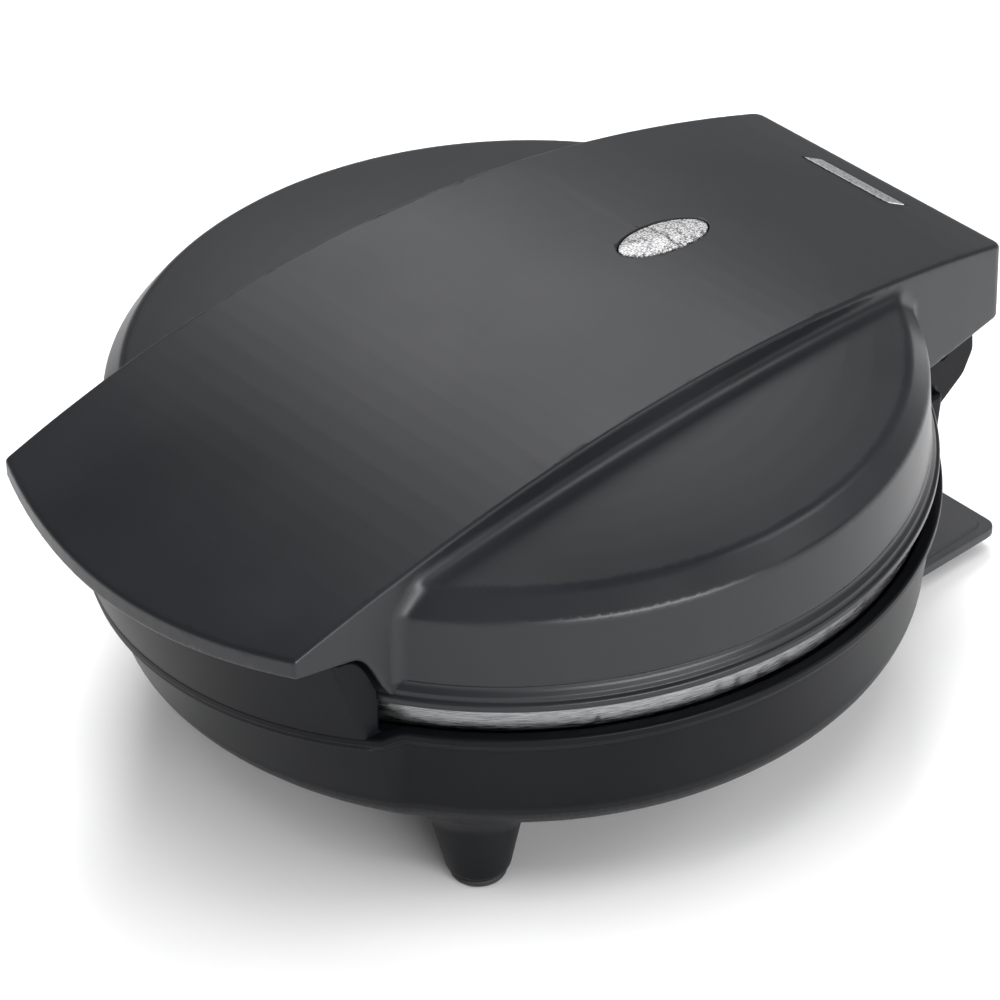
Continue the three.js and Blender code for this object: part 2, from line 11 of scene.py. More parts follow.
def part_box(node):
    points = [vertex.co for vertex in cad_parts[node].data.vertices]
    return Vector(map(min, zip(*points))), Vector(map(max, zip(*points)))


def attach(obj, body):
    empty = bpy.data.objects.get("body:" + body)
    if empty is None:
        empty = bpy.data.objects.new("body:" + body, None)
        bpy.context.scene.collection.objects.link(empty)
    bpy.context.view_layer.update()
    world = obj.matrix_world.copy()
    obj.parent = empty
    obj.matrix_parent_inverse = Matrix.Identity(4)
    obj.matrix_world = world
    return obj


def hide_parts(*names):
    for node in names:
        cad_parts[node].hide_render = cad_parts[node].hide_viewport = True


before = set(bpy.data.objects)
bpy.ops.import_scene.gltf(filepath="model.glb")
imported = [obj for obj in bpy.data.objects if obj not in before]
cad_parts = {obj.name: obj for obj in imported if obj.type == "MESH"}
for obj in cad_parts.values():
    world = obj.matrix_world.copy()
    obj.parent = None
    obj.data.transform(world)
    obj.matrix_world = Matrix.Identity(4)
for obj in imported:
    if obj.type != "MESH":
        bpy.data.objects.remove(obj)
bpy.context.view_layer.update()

# The shared frame's sizes, in millimetres -----------------------------------------------------
MM = 0.001


def corner_mm(node, which):
    """The lowest (0) or highest (1) corner of a CAD node, in millimetres."""
    return [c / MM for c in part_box(node)[which]]


WALL = 2.5
RIM_R = corner_mm("lower_housing", 1)[0]
LID_WALL_R = 112.0
SHOULDER_R = 111.1
SHOULDER_Z = 98.7
LID_CROWN_R = 105.75
LID_CROWN_Z = 105.4
LID_DOME_Z = 114.4
FLANGE_R = 114.3
FLANGE_Z = 72.7
RIM_Z = 64.6
PLATE_Z = 64.9

BAND_FRONT_Y = -126.5
BAND_BOW = 12.0
BAND_BACK_Y = corner_mm("upper_housing", 1)[1]
BAND_HALF_W = 60.5
BAND_WIDEST_Y = -66.0
BAND_TAPER = 2.85
BAND_TOP_Z = corner_mm("upper_housing", 1)[2]
BAND_DROP = 11.05
LIP_H = 6.1

WRAP_HALF_W = corner_mm("cord_wrap_bracket", 1)[0]
WRAP_BACK_Y = corner_mm("cord_wrap_bracket", 1)[1]
HINGE_Y = 118.0
HINGE_Z = 71.0
LENS_Y = 54.6
LENS_HALF = (6.9, 15.6)

BOW_CENTRE_Y = -27.5
BOW_R = 97.0
BOW_LEAN = 0.247

HINGE_BORE_R = 2.85
HINGE_BORE_HALF_L = 50
HINGE_BOSS_R = 8.5
LUG_X = (31, 38)
EAR_X = (38.5, 46.3)
TOWER_HALF_W = 50

RING_PITCH_R = 66.0
RING_MID_R = 19.0
RING_TUBE_W = 11.0
RING_DEPTH = 13.0
PLATE_SCREW_R = 39.0

AXIS = -20  # where a turned outline starts, past the axis so that the axis itself is inside


def half_width(y):
    return BAND_HALF_W - BAND_TAPER * ((y - BAND_WIDEST_Y) / 100) ** 2


def band_top(y):
    return BAND_TOP_Z - BAND_DROP * (y / 100) ** 2


# Signed distances: below zero inside, in millimetres ------------------------------------------
def rounded(corners, arc_steps=6):
    """A closed outline from (u, v, radius) corners, with an arc at each corner that has a radius."""
    outline = []
    count = len(corners)
    for i, (u, v, radius) in enumerate(corners):
        here = np.array([u, v], float)
        if not radius:
            outline.append(here)
            continue
        back = np.array(corners[i - 1][:2]) - here
        ahead = np.array(corners[(i + 1) % count][:2]) - here
        back /= np.hypot(*back)
        ahead /= np.hypot(*ahead)
        half = math.acos(np.clip(back @ ahead, -1, 1)) / 2
        middle = back + ahead
        centre = here + middle / np.hypot(*middle) * radius / math.sin(half)
        start = here + back * radius / math.tan(half) - centre
        end = here + ahead * radius / math.tan(half) - centre
        first = math.atan2(start[1], start[0])
        turn = (math.atan2(end[1], end[0]) - first + math.pi) % (2 * math.pi) - math.pi
        for t in np.linspace(first, first + turn, arc_steps + 1):
            outline.append(centre + radius * np.array([math.cos(t), math.sin(t)]))
    return np.array(outline)


class Outline:
    """The signed distance to a closed outline of (u, v, radius) corners, read from a table."""

    STEP = 0.25
    REACH = 8.0

    def __init__(self, corners):
        outline = rounded(corners)
        self.low = outline.min(0) - self.REACH
        count = ((outline.max(0) + self.REACH - self.low) / self.STEP).astype(int) + 1
        self.axes = [self.low[k] + self.STEP * np.arange(count[k]) for k in (0, 1)]
        nearest = np.full(count, self.REACH ** 2)
        inside = np.zeros(count, bool)
        for start, end in zip(outline, np.roll(outline, -1, axis=0)):
            self.add_side(nearest, inside, start, end)
        self.table = np.where(inside, -1, 1) * np.sqrt(nearest)

    def span(self, axis, low, high):
        """The part of an axis between two values."""
        return slice(*np.searchsorted(self.axes[axis], (low, high)))

    def add_side(self, nearest, inside, start, end):
        low = np.minimum(start, end)
        high = np.maximum(start, end)
        area = tuple(self.span(k, low[k] - self.REACH, high[k] + self.REACH) for k in (0, 1))
        u = self.axes[0][area[0]][:, None]
        v = self.axes[1][area[1]][None, :]
        du, dv = end - start
        along = np.clip(((u - start[0]) * du + (v - start[1]) * dv) / (du * du + dv * dv), 0, 1)
        gap = (u - start[0] - du * along) ** 2 + (v - start[1] - dv * along) ** 2
        nearest[area] = np.minimum(nearest[area], gap)
        if dv:
            rows = self.span(1, low[1], high[1])
            v = self.axes[1][rows]
            inside[:, rows] ^= self.axes[0][:, None] < start[0] + (v - start[1]) * du / dv

    def __call__(self, u, v):
        last = np.array(self.table.shape) - 1.001
        a = np.clip((u - self.low[0]) / self.STEP, 0, last[0])
        b = np.clip((v - self.low[1]) / self.STEP, 0, last[1])
        i = a.astype(int)
        j = b.astype(int)
        a = a - i
        b = b - j
        near = self.table[i, j] * (1 - a) + self.table[i + 1, j] * a
        far = self.table[i, j + 1] * (1 - a) + self.table[i + 1, j + 1] * a
        return near * (1 - b) + far * b


def both(a, b, radius):
    """Where a and b overlap, with the edge between them rounded."""
    edge = np.hypot(np.maximum(a + radius, 0), np.maximum(b + radius, 0))
    return np.minimum(np.maximum(a, b), -radius) + edge


def either(a, b, radius):
    """a and b joined, with a fillet in the corner between them."""
    return -both(-a, -b, radius)


def without(a, b, radius):
    """a with b cut out of it, and the cut's edge rounded."""
    return both(a, -b, radius)


def slab(value, low, high):
    return np.abs(value - (low + high) / 2) - (high - low) / 2


def rod_x(y, z, radius):
    return np.hypot(y - HINGE_Y, z - HINGE_Z) - radius


# From a distance to a mesh --------------------------------------------------------------------
CUBE = [(i, j, k) for i in (0, 1) for j in (0, 1) for k in (0, 1)]
CUBE_EDGES = [(a, b) for a in range(8) for b in range(a + 1, 8) if bin(a ^ b).count("1") == 1]


def sample(distance, low, high, cell):
    """The field on a grid of points, and the grid's first point."""
    axes = [np.arange(a - 1.5 * cell, b + 2.5 * cell, cell) for a, b in zip(low, high)]
    x, y, z = np.meshgrid(*axes, indexing="ij", sparse=True)
    shape = tuple(len(axis) for axis in axes)
    return np.broadcast_to(distance(x, y, z), shape), np.array([axis[0] for axis in axes])


def net(field):
    """Points, in grid units, and quads of the surface where the field changes sign."""
    inside = field < 0
    size = np.array(field.shape) - 1
    parts = [inside[i:i + size[0], j:j + size[1], k:k + size[2]] for i, j, k in CUBE]
    mixed = np.logical_or.reduce(parts) & ~np.logical_and.reduce(parts)
    cells = np.argwhere(mixed)
    values = np.stack([field[tuple((cells + corner).T)] for corner in CUBE], 1)
    total = np.zeros((len(cells), 3))
    hits = np.zeros(len(cells))
    for a, b in CUBE_EDGES:
        crossing = (values[:, a] < 0) != (values[:, b] < 0)
        share = values[:, a] / np.where(crossing, values[:, a] - values[:, b], 1)
        place = np.array(CUBE[a]) + share[:, None] * (np.array(CUBE[b]) - CUBE[a])
        total += np.where(crossing[:, None], place, 0)
        hits += crossing
    index = np.full(mixed.shape, -1)
    index[mixed] = np.arange(len(cells))
    quads = []
    for axis in range(3):
        quads.append(quads_across(inside, index, axis))
    return cells + total / hits[:, None], np.concatenate(quads)


def quads_across(inside, index, axis):
    """One quad for each grid edge along the axis that crosses the surface."""
    step_a = np.eye(3, dtype=int)[(axis + 1) % 3]
    step_b = np.eye(3, dtype=int)[(axis + 2) % 3]
    count = inside.shape[axis] - 1
    lower = np.take(inside, range(count), axis)
    upper = np.take(inside, range(1, count + 1), axis)
    found = []
    for solid, order in ((lower & ~upper, (0, 1, 2, 3)), (upper & ~lower, (3, 2, 1, 0))):
        at = np.argwhere(solid)
        ring = [at - step_a - step_b, at - step_b, at, at - step_a]
        found.append(np.stack([index[tuple(ring[i].T)] for i in order], 1))
    return np.concatenate(found)


def slope(distance, points, step=0.2):
    """The distance's gradient at the points."""
    columns = []
    for axis in range(3):
        shift = np.eye(3)[axis] * step
        columns.append(distance(*(points + shift).T) - distance(*(points - shift).T))
    return np.stack(columns, 1) / (2 * step)


def settle(distance, points, rounds):
    """Moves points onto the surface, and returns them and the surface's normals there."""
    for _ in range(rounds):
        gradient = slope(distance, points)
        steepness = np.maximum((gradient ** 2).sum(1), 0.2)
        move = -(distance(*points.T) / steepness)[:, None] * gradient
        points = points + np.clip(move, -0.8, 0.8)
    gradient = slope(distance, points)
    return points, gradient / np.maximum(np.linalg.norm(gradient, axis=1), 1e-6)[:, None]


SHARP_DEGREES = 15
SHORTEST_EDGE = 0.5


def points_of(mesh):
    values = np.zeros(3 * len(mesh.vertices))
    mesh.vertices.foreach_get("co", values)
    return values.reshape(-1, 3)


def thinned(mesh, share):
    """The mesh with only a share of its faces, mostly taken where it is flat."""
    holder = bpy.data.objects.new("work", mesh)
    bpy.context.scene.collection.objects.link(holder)
    holder.modifiers.new("thin", "DECIMATE").ratio = share
    graph = bpy.context.evaluated_depsgraph_get()
    result = bpy.data.meshes.new_from_object(holder.evaluated_get(graph))
    bpy.data.objects.remove(holder)
    bpy.data.meshes.remove(mesh)
    return result


def refine(mesh, normals):
    """Cuts the edges over which the surface turns too far."""
    points = points_of(mesh)
    ends = np.zeros(2 * len(mesh.edges), int)
    mesh.edges.foreach_get("vertices", ends)
    ends = ends.reshape(-1, 2)
    turn = (normals[ends[:, 0]] * normals[ends[:, 1]]).sum(1)
    length = np.linalg.norm(points[ends[:, 0]] - points[ends[:, 1]], axis=1)
    chosen = np.flatnonzero((turn < math.cos(math.radians(SHARP_DEGREES))) & (length > SHORTEST_EDGE))
    if not len(chosen):
        return False
    work = bmesh.new()
    work.from_mesh(mesh)
    work.edges.ensure_lookup_table()
    cut = [work.edges[i] for i in chosen]
    bmesh.ops.subdivide_edges(work, edges=cut, cuts=1, use_grid_fill=True)
    work.to_mesh(mesh)
    work.free()
    return True


def skin(name, distance, low, high, cell, finish, body, share=1.0):
    """A smooth mesh on the surface where the distance is zero, riding on a body."""
    field, start = sample(distance, low, high, cell)
    points, quads = net(field)
    points, normals = settle(distance, start + points * cell, 3)
    mesh = bpy.data.meshes.new(name)
    mesh.from_pydata(points.tolist(), [], quads.tolist())
    if share < 1:
        mesh = thinned(mesh, share)
        mesh.name = name
        points, normals = settle(distance, points_of(mesh), 1)
    for _ in range(2):
        if not refine(mesh, normals):
            break
        points, normals = settle(distance, points_of(mesh), 2)
        mesh.vertices.foreach_set("co", points.ravel())
    return shown(mesh, points, normals, finish, body)


def shown(mesh, points, normals, finish, body):
    """A mesh in millimetres with its own normals, made a piece that rides on a body."""
    mesh.vertices.foreach_set("co", (points * MM).ravel())
    mesh.validate()
    mesh.polygons.foreach_set("use_smooth", np.ones(len(mesh.polygons), bool))
    mesh.normals_split_custom_set_from_vertices(normals.tolist())
    mesh.update()
    piece = bpy.data.objects.new(mesh.name, mesh)
    bpy.context.scene.collection.objects.link(piece)
    mesh.materials.append(finish)
    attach(piece, body)
    return piece


RING_STEPS = 360


def ring(name, corners, finish, body, slot, node, swell=None):
    """A closed outline of (radius, height, fillet) turned about Z, in place of part of a node."""
    outline = rounded(corners, 8)
    sides = np.roll(outline, -1, axis=0) - outline
    outward = np.stack([sides[:, 1], -sides[:, 0]], 1)
    facing = outward + np.roll(outward, 1, axis=0)
    facing /= np.hypot(*facing.T)[:, None]
    angles = np.linspace(0, 2 * math.pi, RING_STEPS, endpoint=False)[:, None]
    out_x, out_y = np.cos(angles), np.sin(angles)
    height = np.broadcast_to(outline[:, 1], (RING_STEPS, len(outline)))
    grow = swell(out_x, out_y, height) if swell else 1
    points = np.stack([outline[:, 0] * out_x * grow, outline[:, 0] * out_y * grow, height], 2)
    normals = np.stack([facing[:, 0] * out_x, facing[:, 0] * out_y, height * 0 + facing[:, 1]], 2)
    count = len(outline)
    i, j = np.meshgrid(np.arange(RING_STEPS), np.arange(count), indexing="ij")
    here, ahead = i * count, (i + 1) % RING_STEPS * count
    after = (j + 1) % count
    quads = np.stack([here + j, ahead + j, ahead + after, here + after], 2)
    mesh = bpy.data.meshes.new(name)
    points = points.reshape(-1, 3)
    mesh.from_pydata(points.tolist(), [], quads.reshape(-1, 4).tolist())
    piece = shown(mesh, points, normals.reshape(-1, 3), finish, body)
    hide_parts(node)
    return piece


# Finishes -------------------------------------------------------------------------------------
def new_finish(name, color, roughness, metallic=0.0):
    """A new material, and its principled shader."""
    material = bpy.data.materials.new(name)
    material.use_nodes = True
    shader = material.node_tree.nodes["Principled BSDF"]
    shader.inputs["Base Color"].default_value = (*color, 1)
    shader.inputs["Roughness"].default_value = roughness
    shader.inputs["Metallic"].default_value = metallic
    return material, shader


def add_node(material, kind, **settings):
    """A new node, with its sockets or properties set by name."""
    made = material.node_tree.nodes.new(kind)
    for key, value in settings.items():
        if key in made.inputs:
            made.inputs[key].default_value = value
        else:
            setattr(made, key, value)
    return made


def link(material, source, target):
    material.node_tree.links.new(source, target)


def noise(material, scale, detail=2.0, stretch=(1, 1, 1)):
    """A noise in object space, in features per metre, stretched along the axes."""
    where = add_node(material, "ShaderNodeTexCoord")
    mapping = add_node(material, "ShaderNodeMapping")
    mapping.inputs["Scale"].default_value = stretch
    texture = add_node(material, "ShaderNodeTexNoise", Scale=scale, Detail=detail)
    link(material, where.outputs["Object"], mapping.inputs["Vector"])
    link(material, mapping.outputs["Vector"], texture.inputs["Vector"])
    return texture.outputs["Fac"]


NOISE_LOW, NOISE_HIGH = 0.3, 0.7  # where nearly all of a noise's values lie


def spread(material, value, low, high):
    """The value spread between two numbers."""
    made = add_node(material, "ShaderNodeMapRange")
    made.inputs["From Min"].default_value = NOISE_LOW
    made.inputs["From Max"].default_value = NOISE_HIGH
    made.inputs["To Min"].default_value = low
    made.inputs["To Max"].default_value = high
    link(material, value, made.inputs["Value"])
    return made.outputs["Result"]


def blend_colors(material, value, first, second):
    """A colour between two, by the value."""
    ramp = add_node(material, "ShaderNodeValToRGB")
    ramp.color_ramp.elements[0].position = NOISE_LOW
    ramp.color_ramp.elements[1].position = NOISE_HIGH
    ramp.color_ramp.elements[0].color = (*first, 1)
    ramp.color_ramp.elements[1].color = (*second, 1)
    link(material, value, ramp.inputs["Fac"])
    return ramp.outputs["Color"]


def bump(material, shader, height, distance, strength=1.0):
    made = add_node(material, "ShaderNodeBump", Strength=strength, Distance=distance)
    link(material, height, made.inputs["Height"])
    link(material, made.outputs["Normal"], shader.inputs["Normal"])


def moulded_plastic(name, color, roughness, shine=0.5, grain=0.00002):
    """Satin moulded plastic: a fine spark-eroded grain, and a slow change of gloss and colour."""
    material, shader = new_finish(name, color, roughness)
    shader.inputs["Specular IOR Level"].default_value = shine
    fine = noise(material, 2600, 3)
    slow = noise(material, 22, 2)
    lighter = tuple(min(1.0, c * 1.22 + 0.002) for c in color)
    link(material, blend_colors(material, slow, color, lighter), shader.inputs["Base Color"])
    link(material, spread(material, slow, roughness - 0.03, roughness + 0.03), shader.inputs["Roughness"])
    bump(material, shader, fine, grain)
    return material


def machined_metal(name, color, roughness, stretch, depth=0.00004):
    """Metal with fine tool marks along one direction."""
    material, shader = new_finish(name, color, roughness, 1.0)
    marks = noise(material, 900, 6, stretch)
    darker = tuple(c * 0.35 for c in color)
    link(material, blend_colors(material, marks, darker, color), shader.inputs["Base Color"])
    link(material, spread(material, marks, roughness - 0.08, roughness + 0.1), shader.inputs["Roughness"])
    bump(material, shader, marks, depth)
    return material


def coated_metal(name):
    """Dark non-stick coating, sprayed, with a faint orange peel."""
    material, shader = new_finish(name, (0.018, 0.018, 0.019), 0.34)
    shader.inputs["Coat Weight"].default_value = 0.25
    shader.inputs["Coat Roughness"].default_value = 0.25
    peel = noise(material, 700, 2)
    fleck = noise(material, 3200, 1)
    link(material, blend_colors(material, fleck, (0.012, 0.012, 0.013), (0.034, 0.034, 0.036)),
         shader.inputs["Base Color"])
    bump(material, shader, peel, 0.00003)
    return material


def rubber(name):
    """Dull black rubber with a faint speckle."""
    material, shader = new_finish(name, (0.008, 0.008, 0.009), 0.7)
    speck = noise(material, 1800, 2)
    link(material, blend_colors(material, speck, (0.006, 0.006, 0.006), (0.016, 0.016, 0.017)),
         shader.inputs["Base Color"])
    bump(material, shader, speck, 0.00005)
    return material


def prism_lens(name):
    """Clear plastic over a moulded field of fine prisms. Its sparkle is painted: each prism's colour runs
    from a painted highlight in its middle to painted shade at its edge.
    """
    material, shader = new_finish(name, (0.6, 0.61, 0.62), 0.15)
    shader.inputs["Coat Weight"].default_value = 1.0
    shader.inputs["Coat Roughness"].default_value = 0.05
    where = add_node(material, "ShaderNodeTexCoord")
    prisms = add_node(material, "ShaderNodeTexVoronoi", Scale=1500.0, Randomness=0.6)
    link(material, where.outputs["Object"], prisms.inputs["Vector"])
    # Painted glints: each prism cell is painted near white in its middle and near black at its edge.
    prism_glint_paint = blend_colors(material, prisms.outputs["Distance"], (0.62, 0.62, 0.61), (0.06, 0.06, 0.07))
    link(material, prism_glint_paint, shader.inputs["Base Color"])
    split = add_node(material, "ShaderNodeSeparateColor")
    link(material, prisms.outputs["Color"], split.inputs["Color"])
    link(material, spread(material, split.outputs["Red"], 0.08, 0.4), shader.inputs["Roughness"])
    bump(material, shader, prisms.outputs["Distance"], 0.0006, 0.8)
    return material


def lit_plastic(name, color):
    """Clouded coloured plastic over a lamp that is off."""
    material, shader = new_finish(name, color, 0.25)
    cloudy = noise(material, 400, 2)
    darker = tuple(c * 0.7 for c in color)
    link(material, blend_colors(material, cloudy, darker, color), shader.inputs["Base Color"])
    return material


BLACK = moulded_plastic("black_plastic", (0.007, 0.0076, 0.009), 0.35, 0.32)
# The bowl's copy of the black plastic is made darker than the lid's: painted shade for the bowl and its
# rim bead under the lid.
SHADED_BASE_BLACK = moulded_plastic("base_plastic_painted_shade", (0.0016, 0.0019, 0.0027), 0.4, 0.1)
INNER_BLACK = moulded_plastic("inner_plastic", (0.008, 0.008, 0.009), 0.55)
WRAP_BLACK = moulded_plastic("wrap_plastic", (0.02, 0.0205, 0.022), 0.5, 0.5, 0.00008)
COATED = coated_metal("coated_aluminium")
MACHINED = machined_metal("machined_edge", (0.34, 0.345, 0.35), 0.3, (0.25, 0.25, 5))
SHEET = machined_metal("sheet_aluminium", (0.75, 0.76, 0.77), 0.26, (1, 8, 1))
BADGE = machined_metal("badge_aluminium", (0.78, 0.79, 0.8), 0.3, (1, 9, 1))
SHEATH = machined_metal("element_sheath", (0.2, 0.19, 0.18), 0.5, (1, 1, 1), 0.00008)
STEEL = machined_metal("steel", (0.62, 0.63, 0.65), 0.28, (3, 3, 1), 0.00002)
RUBBER = rubber("rubber")
LENS = prism_lens("clear_lens")
WHITE = moulded_plastic("white_plastic", (0.72, 0.7, 0.66), 0.45)
RED = lit_plastic("red_lamp", (0.6, 0.08, 0.04))
GREEN = lit_plastic("green_lamp", (0.08, 0.42, 0.14))


# Upper housing --------------------------------------------------------------------------------
def dome_curve():
    """The lid's low dome, from near the crown's edge in to the axis."""
    rise = LID_DOME_Z - LID_CROWN_Z
    curve = [
        (r, LID_CROWN_Z + rise * (1 - (r / LID_CROWN_R) ** 2), 0)
        for r in np.linspace(96, 0, 13)
    ]
    return [*curve, (AXIS, LID_DOME_Z, 0)]


def lid_profile():
    """The solid of the lid turned about Z: its wall above the foot ring, the crown and the dome."""
    return Outline([
        (AXIS, FLANGE_Z + 0.6, 0),
        (LID_WALL_R - 0.7, FLANGE_Z + 0.6, 0),
        (LID_WALL_R - 0.7, 78.4, 0),
        (LID_WALL_R - 0.04, 79.4, 0),
        (SHOULDER_R, SHOULDER_Z, 2.8),
        (LID_CROWN_R, LID_CROWN_Z, 3.6),
        *dome_curve(),
    ])


def plan_outline(inset):
    """The band from above: slightly barrelled sides, a straight back and a bowed front."""
    ys = np.linspace(BAND_FRONT_Y + inset, BAND_BACK_Y - inset, 17)
    right = [(half_width(y) - inset, y, 0) for y in ys]
    right[0] = (*right[0][:2], 1.3)
    right[-1] = (*right[-1][:2], 3.2)
    left = [(-x, y, radius) for x, y, radius in reversed(right)]
    bow = [(t * right[0][0], ys[0] - BAND_BOW * (1 - t * t), 0) for t in np.linspace(-0.92, 0.92, 21)]
    return [*right, *left, *bow]


def skirt_curve(shift):
    """The S curve of the skirt behind the handle, moved down and forward by a shift."""
    t = np.linspace(0, 1, 15)[:, None]
    ends = np.array([(-109.4, 92.5), (-100.5, 91.5), (-101, 73.7), (-93, FLANGE_Z)])
    blend = (1 - t) ** 3 * ends[0] + 3 * t * (1 - t) ** 2 * ends[1]
    blend = blend + 3 * t * t * (1 - t) * ends[2] + t ** 3 * ends[3] - shift
    return [(y, z, 0) for y, z in blend]


def side_outline():
    """The band from the side: the arched top, the lip, the S curve and the rear skirt."""
    back, front = BAND_BACK_Y + 4, BAND_FRONT_Y - BAND_BOW - 4
    top = [(y, band_top(y), 0) for y in np.linspace(back, front, 40)]
    lip = [(front, band_top(front) - LIP_H, 0), (BAND_FRONT_Y, band_top(BAND_FRONT_Y) - LIP_H, 0.8)]
    heel = [(104, FLANGE_Z, 8.0), (back, FLANGE_Z + 2.4, 0)]
    return [*top, *lip, *skirt_curve(0), *heel]


LID_FOOT = [
    (109.7, FLANGE_Z, 0.3),
    (FLANGE_R, FLANGE_Z, 0.5),
    (FLANGE_R, 74.8, 0.8),
    (113.2, 75.3, 0.5),
    (113.1, 76.7, 0.8),
    (LID_WALL_R, 78.3, 2.5),
    (LID_WALL_R - 0.08, 79.6, 0),
    (109.7, 79.6, 0),
]


def drum_profile():
    """The lid's round wall and dome, carried on down past the flange."""
    return Outline([
        (AXIS, 60, 0),
        (LID_WALL_R, 60, 0),
        (LID_WALL_R, 77.4, 0),
        (SHOULDER_R, SHOULDER_Z, 2.2),
        (LID_CROWN_R, LID_CROWN_Z, 3.0),
        *dome_curve(),
    ])


LID_PROFILE = lid_profile()
DRUM = drum_profile()
PLAN = Outline(plan_outline(0))
SIDE = Outline(side_outline())


def band(x, y, z):
    return both(PLAN(x, y), SIDE(y, z), 1.1)


def lid_solid(x, y, z):
    """The round lid and the band over it. The dome sinks away where the band covers it."""
    under_band = np.clip(-PLAN(x, y) - 4, 0, 6) * (z > 100)
    fillet = 2.2 + 1.4 * np.clip((z - 98) / 8, 0, 1)
    return either(LID_PROFILE(np.hypot(x, y), z) + under_band, band(x, y, z), fillet)


def lid_hollow(x, y, z):
    """The space inside the lid, open below, with the round wall left standing."""
    r = np.hypot(x, y)
    box = both(PLAN(x, y), z - band_top(y), 1.0)
    space = np.minimum(DRUM(r, z), box) + WALL
    liner = np.maximum(np.abs(r - LID_WALL_R + WALL / 2) - WALL / 2, z - LID_CROWN_Z + 6)
    return np.maximum(space, -liner)


def ellipse(x, y, grow):
    """The distance from the lens's outline in plan, near enough close to it."""
    a, b = LENS_HALF[0] + grow, LENS_HALF[1] + grow
    u, v = x / a, (y - LENS_Y) / b
    level = np.hypot(u, v)
    return (level - 1) * level / np.maximum(np.hypot(u / a, v / b), 1e-6)


def badge_plan(x, y, grow):
    low = corner_mm("badge_plate", 0)
    high = corner_mm("badge_plate", 1)
    middle, depth = (low[1] + high[1]) / 2, (high[1] - low[1]) / 2
    lean = 0.8 * (y - middle) / depth * 2
    half = high[0] - 1.6
    return both(np.abs(x - lean) - half - grow, np.abs(y - middle) - depth - grow, 0.3)


def lid_lug(x, y, z):
    """The pair of lugs inside the band that the hinge pins go through."""
    arm = both(np.abs(y - HINGE_Y) - 4.5, np.abs(z - 86) - 15, 0.5)
    lug = either(arm, rod_x(y, z, 7.0), 2.0)
    return both(lug, slab(np.abs(x), *LUG_X), 0.5)


def upper_housing(x, y, z):
    shell = without(lid_solid(x, y, z), lid_hollow(x, y, z), 0.5)
    shell = either(shell, lid_lug(x, y, z), 1.0)
    bore = np.maximum(rod_x(y, z, HINGE_BORE_R), np.abs(x) - HINGE_BORE_HALF_L)
    shell = np.maximum(shell, -bore)
    shell = without(shell, np.maximum(ellipse(x, y, 0.3), 90 - z), 0.4)
    seat = np.maximum(badge_plan(x, y, 0.25), band_top(y) - 0.5 - z)
    return without(shell, seat, 0.2)


# Lower housing --------------------------------------------------------------------------------
BOWL_FLOOR_Z = 21.5
BOWL_CORNER = (82, 40)
BOWL_CORNER_W = 29


def bowl_corner(inset):
    """The quarter ellipse from the bowl's wall in to its floor."""
    centre_r, centre_z = BOWL_CORNER
    reach, drop = BOWL_CORNER_W - inset, centre_z - BOWL_FLOOR_Z - inset
    angles = np.linspace(math.pi / 2, 0, 14)
    return [(centre_r + reach * math.sin(a), centre_z - drop * math.cos(a), 0) for a in angles]


BOWL_PROFILE = Outline([
    (AXIS, RIM_Z - 0.5, 0),
    (113.4, RIM_Z - 0.5, 0),
    (113.7, RIM_Z - 4.5, 0),
    *bowl_corner(0),
    (AXIS, BOWL_FLOOR_Z, 0),
])
BOWL_HOLLOW = Outline([
    (AXIS, RIM_Z + 9, 0),
    (111.6, RIM_Z + 9, 0),
    (111.6, RIM_Z - 4, 0.5),
    *bowl_corner(WALL),
    (AXIS, BOWL_FLOOR_Z + WALL, 0),
])


RIM_BEAD = [
    (111.7, 59.9, 0),
    (113.78, 59.9, 0),
    (114.05, 61.4, 0.7),
    (RIM_R, 62.1, 0.8),
    (RIM_R, RIM_Z, 0.8),
    (111.7, RIM_Z, 0.6),
]


def bulge(x, y, z):
    """How far the bowl swells under the handle: 1 all round, and more at the top in front."""
    swing = np.abs(np.arctan2(x, -y))
    across = np.minimum(-BOW_CENTRE_Y * np.sin(swing), BOW_R)
    ahead = -BOW_CENTRE_Y * np.cos(swing) + np.sqrt(BOW_R ** 2 - across ** 2)
    share = np.clip((math.radians(33.5) - swing) / 0.05, 0, 1)
    share = share * share * (3 - 2 * share) * np.clip((z - 25) / 37, 0, 1)
    return 1 + (np.maximum(ahead / RIM_R, 1) - 1) * share


BLOCK_PLAN = Outline(plan_outline(1.6))
BLOCK_SIDE = Outline([
    (-140, 60, 0),
    (-140, 90.8, 0),
    (-132, 93.0, 0),
    (-126.5, 94.8, 0),
    *skirt_curve(0.8),
    (-90, 60, 0),
])


def front_block(x, y, z):
    """The block under the handle, with a bowed face that leans out from the rim to the lip."""
    bow = np.hypot(x, y - BOW_CENTRE_Y) - BOW_R - BOW_LEAN * np.maximum(z - RIM_Z, -2)
    face = both(bow, BLOCK_PLAN(x, y), 0.7)
    body = both(face, BLOCK_SIDE(y, z), 0.7)
    return without(body, np.hypot(x, y) - FLANGE_R - 1.3, 0.4)


TOWER_SIDE = Outline([
    (96, 28, 0), (103, 31, 4), (110.5, 40, 10), (113.5, 48, 8), (114.8, 57, 6), (114.8, 60.5, 1.2),
    (96, 60.5, 0),
])
EAR_SIDE = Outline([
    (104, 57, 0), (114.2, 50.5, 1.5), (120.2, 54.4, 2), (127, 59.2, 5), (130.7, 66, 5), (130.2, 74, 4),
    (124, 78.6, 4), (110, 71, 0), (106, 62, 0),
])


